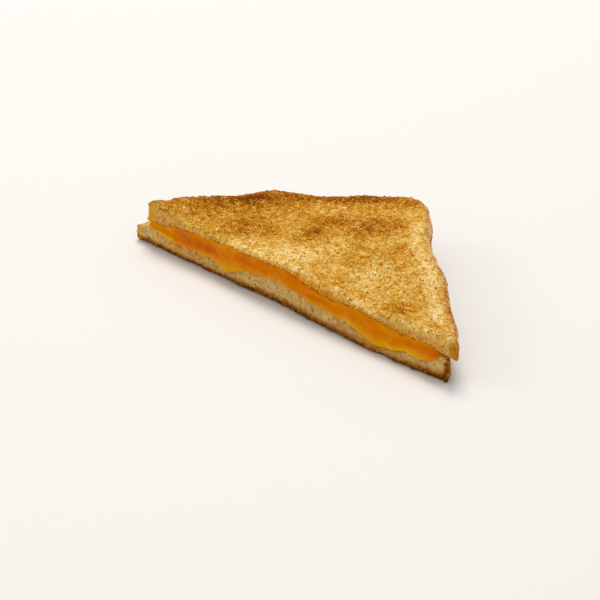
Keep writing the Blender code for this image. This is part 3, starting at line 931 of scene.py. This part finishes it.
print("making the cheese")
cheeseShape = {
    "pointsRound": 1024,
    "setback": 2.0,          # behind the crust
    "rightStop": 7.4,        # bare bread at the right tip
    "leftStop": 5.5,         # and at the left one
    "endRound": 4.0,
    "endSlant": 1.5,         # the right end runs back at a slant
    "endBlend": 7.0,         # length over which the cut's profile turns into the crust's
    "proud": 1.3,            # beyond the cut
    "lobes": ((-34, 13, 0.8), (42, 20, 1.2), (-60, 12, -0.4), (8, 14, 0.3), (67, 8, 0.9)),
    "drips": ((-33, 10, 3.2), (-15, 14, 1.2), (44, 20, 3.0), (20, 8, 0.4), (-62, 9, 0.6), (65, 12, 2.8)),
    "spacing": (3.0, 1.2),
    "rows": 26,
    "smear": (5.0, 0.55),    # size of the tongues and how far it climbs on the upper slice's crumb
    "flow": (3.4, 0.44),     # size and height of the slow unevenness
    "creases": (2.8, 0.26),
    "curd": (2.6, 0.34),     # lumps along the crust
    "tone": 0.22,            # 0 golden, 1 deep orange
    "streak": 0.30,          # and how much it wanders
    "paintedShadeBand": 0.54,      # painted shade: deeper orange added to a band above the middle of the layer, where the upper slice shades it
    "tones": ((-5, 34, 0.22), (28, 14, 0.12), (54, 20, -0.32), (-69, 10, -0.55), (-56, 10, 0.30)),
}


def catmull(keys, at):
    # smooth curve through whole-array keys, evenly spaced from 0 to 1: Catmull-Rom
    place = np.clip(at, 0.0, 1.0) * (len(keys) - 1)
    k = int(min(np.floor(place), len(keys) - 2))
    t = place - k
    before, here, there, after = keys[max(k - 1, 0)], keys[k], keys[k + 1], keys[min(k + 2, len(keys) - 1)]
    return 0.5 * (2 * here + (there - before) * t + (2 * before - 5 * here + 4 * there - after) * t * t
                  + (3 * here - before - 3 * there + after) * t ** 3)


def meltedLayer(shape, seed):
    # The layer's edge follows a profile: along the cut it leaves the bread, hangs over it by the drip, swells and
    # goes back under the upper slice; along the crust it is a small round lip.
    corner = (0.0, cutToCorner)
    stop = cutToCorner - shape["rightStop"]
    begin = shape["leftStop"] - cutToCorner
    slant = shape["endSlant"]
    corners = [(stop, 0.0), (stop - slant, shape["rightStop"] + slant), corner, (begin, shape["leftStop"]), (begin, 0.0)]
    radii = [shape["endRound"], shape["endRound"], sandwich["cornerRound"], shape["endRound"], shape["endRound"] / 2]
    bumps = {1: (corner, sandwich["nearEdge"]), 2: (corner, sandwich["farEdge"]),
             4: ((-cutToCorner, 0.0), sandwich["cutEdge"])}
    outline = roundedOutline(corners, radii, bumps, shape["pointsRound"], 1.6, shape["endBlend"])
    points, outward, cut = outline["points"], outline["outward"], outline["cut"]
    spot = np.column_stack([points, np.zeros(len(points))])
    uneven = layeredNoise(spot, 7.0, 3, seed)
    setback = np.maximum(shape["setback"] + 1.6 * layeredNoise(spot, 11.0, 2, seed + 5), 0.6)
    base = insetBy(points, outward, setback * (1 - cut))
    base[:, 0] = base[:, 0] + sandwich["lowerSlide"] / 2 * smoothStep(40, 0, base[:, 0])
    x, y = base.T
    low = tornLowerTop(x, np.maximum(y, 0.0)) + 0.1
    high = tornUpperBottom(x, np.maximum(y, 0.0)) - 0.1
    proud = shape["proud"] + bells(x, shape["lobes"]) + 0.5 * uneven
    drip = np.maximum(bells(x, shape["drips"]) + 0.45 * uneven, 0.1)
    lip = 0.5 * (high - low) * (0.85 + 0.5 * layeredNoise(spot, 5.0, 2, seed + 3))
    smear = np.clip(shape["smear"][1] + 1.1 * layeredNoise(spot, shape["smear"][0], 2, seed + 7), 0.1, 1.5)
    cutKeys = [(-2.2 + 0 * x, low), (-0.6 + 0 * x, low), (0.25 + 0 * x, low - 0.35 * drip), (0.35 + 0.25 * proud, low - drip),
               (0.2 + 0.9 * proud, low - 0.55 * drip), (proud + 0.2, mix(low, high, 0.24)), (0.85 * proud, mix(low, high, 0.5)),
               (0.55 * proud, mix(low, high, 0.80)), (0.05 + 0.1 * smear, high + smear), (-2.2 + 0 * x, high)]
    crustKeys = [(-2.2 + 0 * x, low), (-1.2 + 0 * x, low), (-0.4 + 0 * x, low), (0.25 * lip, low + 0.15 * lip),
                 (0.5 * lip, low + 0.6 * lip), (0.6 * lip, low + lip), (0.5 * lip, low + 1.4 * lip),
                 (0.2 * lip, high), (-0.6 + 0 * x, high), (-2.2 + 0 * x, high)]
    keys = [np.stack([mix(b[0], a[0], cut), mix(b[1], a[1], cut)]) for a, b in zip(cutKeys, crustKeys)]
    rings = []
    inner = insetBy(base, outward, np.full(len(x), 2.2))

    def addFace(shares, kind, surface, wall):
        for share in shares:
            step = halvings(share)
            plan = mix(middle, inner, share)[::step]
            rings.append({"points": np.column_stack([plan, surface(*plan.T)]), "kind": kind, "step": step,
                          "wall": np.full(len(plan), wall), "depth": np.full(len(plan), (1 - share) * innerRadius)})

    shares = faceShares(*shape["spacing"])
    addFace(shares, "bottom", lambda x, y: tornLowerTop(x, y) + 0.1, 0.0)
    for share in np.linspace(0, 1, shape["rows"]):
        offset, z = catmull(keys, share)
        plan = insetBy(base, outward, np.maximum(-offset, 0.0)) + outward * np.maximum(offset, 0.0)[:, None]
        rings.append({"points": np.column_stack([plan, z]), "kind": "edge", "step": 1,
                      "wall": np.full(len(x), share), "depth": -offset})
    addFace(shares[::-1], "top", lambda x, y: tornUpperBottom(x, y) - 0.1, 1.0)
    piece, facts = ringMesh("melted_cheese", outline, rings, "top")
    spots, height = facts["points"], facts["wall"]
    shown = facts["cut"] * smoothStep(3.0, 0.0, facts["depth"])
    flow = layeredNoise(spots * (0.6, 1.0, 1.0), shape["flow"][0], 3, seed + 9)
    crease = ridges(spots * (0.35, 1.0, 1.2), shape["creases"][0], seed + 12)
    move = (flow * shape["flow"][1] - crease * shape["creases"][1]) * shown
    edge = (1 - facts["cut"]) * smoothStep(1.5, 0.0, facts["depth"])
    move = move + edge * shape["curd"][1] * layeredNoise(spots, shape["curd"][0], 2, seed + 21)
    movePoints(piece, spots + meshNormals(piece) * move[:, None])
    streaks = layeredNoise(spots * (0.28, 1.0, 1.0), 4.5, 3, seed + 18)
    # painted shade: a band of the cheese under the upper slice's overhang is made deeper orange
    band = smoothStep(0.44, 0.64, height + 0.05 * flow) * mix(1.0, 0.5, smoothStep(0.72, 0.86, height))
    tone = shape["tone"] + shape["paintedShadeBand"] * band
    tone = tone + bells(spots[:, 0], shape["tones"]) * mix(1.25, 0.45, band) + shape["streak"] * streaks
    setAttribute(piece, "tone", tone)
    setAttribute(piece, "dried", (1 - facts["cut"]) * (0.8 + 0.4 * streaks))
    setAttribute(piece, "dull", 0.5 + 0.5 * layeredNoise(spots, 6.0, 3, seed + 15) + 0.5 * (1 - facts["cut"]))
    return piece


cheeseFinish = {
    "stops": ((0.0, "#e7aa04"), (0.28, "#e19600"), (0.52, "#de8700"), (0.78, "#da7600"), (1.0, "#ce6400")),
    "dried": "#b57b22",      # dull ochre along the crust, where it baked dry
    "sheen": "#ffb400",      # what it mirrors comes back through a film of orange oil
    "roughness": (0.14, 0.40),
    "scatter": 0.0035,       # metres that red light wanders under the skin
}


def meltedCheddar(name, finish):
    # Melted orange cheddar: translucent, evenly coloured, with a soft greasy sheen and faint flow lines.
    material, tree, shader = newMaterial(name)
    place = addNode(tree, "ShaderNodeTexCoord").outputs["Object"]
    tone = addNode(tree, "ShaderNodeAttribute", {"attribute_name": "tone"}).outputs["Fac"]
    dull = addNode(tree, "ShaderNodeAttribute", {"attribute_name": "dull"}).outputs["Fac"]
    ramp = fillRamp(addNode(tree, "ShaderNodeValToRGB", None, None, {"Fac": tone}), finish["stops"])
    dried = addNode(tree, "ShaderNodeAttribute", {"attribute_name": "dried"}).outputs["Fac"]
    colour = addNode(tree, "ShaderNodeMix", {"data_type": "RGBA"}, {7: hexColour(finish["dried"])},
                     {0: dried, 6: ramp.outputs["Color"]})
    tree.links.new(colour.outputs[2], shader.inputs["Base Color"])
    low, high = finish["roughness"]
    gloss = addNode(tree, "ShaderNodeMapRange", None, {"To Min": low, "To Max": high}, {"Value": dull})
    tree.links.new(gloss.outputs["Result"], shader.inputs["Roughness"])
    shader.inputs["IOR"].default_value = 1.46
    shader.inputs["Specular IOR Level"].default_value = 0.14
    shader.inputs["Specular Tint"].default_value = hexColour(finish["sheen"])
    shader.inputs["Subsurface Weight"].default_value = 0.4
    shader.inputs["Subsurface Radius"].default_value = (1.0, 0.35, 0.05)
    shader.inputs["Subsurface Scale"].default_value = finish["scatter"]
    fine = addNode(tree, "ShaderNodeTexNoise", None, {"Scale": 900.0, "Detail": 2.0}, {"Vector": place}).outputs["Fac"]
    bump = addNode(tree, "ShaderNodeBump", None, {"Strength": 0.25, "Distance": 0.00015}, {"Height": fine})
    tree.links.new(bump.outputs["Normal"], shader.inputs["Normal"])
    return material


cheese = meltedLayer(cheeseShape, 71)
shiftToFrame(cheese)
finishPiece(cheese, meltedCheddar("melted cheddar", cheeseFinish), "cheese")

print("setting the table, the lights and the camera")
studio = {
    "floorSize": 3.0,
    "floorColour": "#eaecf0",
    "worldColour": "#fbf8f1",
    "worldStrength": 0.60,
    "keyTurn": 188.0,        # degrees round from the camera
    "keyRise": 66.0,
    "keyDistance": 2.2,
    "keySize": 1.0,
    "keyPower": 30.0,
    "keyColour": "#fff7ea",
    "fillTurn": -85.0,       # a second, lower window on the left
    "fillRise": 32.0,
    "fillDistance": 1.8,
    "fillSize": 0.45,
    "fillPower": 2.6,
    "fillColour": "#fffaf2",
}
view = {
    "azimuth": 40.0,         # degrees from looking straight at the cut, towards the right tip
    "elevation": 28.92,
    "roll": 2.62,
    "distance": 0.92,
    "lens": 137.97,
    "aim": (-20.12, 28.0, -13.83),     # mm, in the slice's own frame
}


def towards(azimuth, elevation):
    a, e = np.radians(azimuth), np.radians(elevation)
    return Vector((np.sin(a) * np.cos(e), -np.cos(a) * np.cos(e), np.sin(e)))


def makeFloor(settings):
    half = settings["floorSize"] / 2
    mesh = bpy.data.meshes.new("table_top")
    mesh.from_pydata([(-half, -half, 0), (half, -half, 0), (half, half, 0), (-half, half, 0)], [], [(0, 1, 2, 3)])
    floor = bpy.data.objects.new("table_top", mesh)
    bpy.context.scene.collection.objects.link(floor)
    material, tree, shader = newMaterial("pale table")
    shader.inputs["Base Color"].default_value = hexColour(settings["floorColour"])
    shader.inputs["Roughness"].default_value = 0.6
    mesh.materials.append(material)


def makeLights(settings, cameraAzimuth):
    world = bpy.data.worlds.new("soft daylight")
    world.use_nodes = True
    background = world.node_tree.nodes["Background"]
    background.inputs["Color"].default_value = hexColour(settings["worldColour"])
    background.inputs["Strength"].default_value = settings["worldStrength"]
    bpy.context.scene.world = world
    for name in ("key", "fill"):
        lamp = bpy.data.lights.new(name + "_window", "AREA")
        lamp.size = settings[name + "Size"]
        lamp.energy = settings[name + "Power"]
        lamp.color = hexColour(settings[name + "Colour"])[:3]
        window = bpy.data.objects.new(name + "_window", lamp)
        direction = towards(cameraAzimuth + settings[name + "Turn"], settings[name + "Rise"])
        window.location = direction * settings[name + "Distance"]
        window.rotation_euler = direction.to_track_quat("Z", "Y").to_euler()
        bpy.context.scene.collection.objects.link(window)


def makeCamera(settings):
    # looks at the aim from the given side and height, then rolls about its own axis
    away = towards(settings["azimuth"], settings["elevation"])
    sideways = Vector((np.cos(np.radians(settings["azimuth"])), np.sin(np.radians(settings["azimuth"])), 0.0))
    upright = away.cross(sideways)
    roll = np.radians(settings["roll"])
    right = sideways * np.cos(roll) + upright * np.sin(roll)
    up = upright * np.cos(roll) - sideways * np.sin(roll)
    aim = Vector((np.array(settings["aim"]) + toFrame) * mm)
    lens = bpy.data.cameras.new("camera")
    lens.lens = settings["lens"]
    lens.sensor_width = 36.0
    lens.clip_start = 0.01
    camera = bpy.data.objects.new("camera", lens)
    camera.matrix_world = Matrix.Translation(aim + away * settings["distance"]) @ Matrix((right, up, away)).transposed().to_4x4()
    bpy.context.scene.collection.objects.link(camera)
    bpy.context.scene.camera = camera


makeFloor(studio)
makeLights(studio, view["azimuth"])
makeCamera(view)
bpy.context.scene.view_settings.view_transform = "Standard"
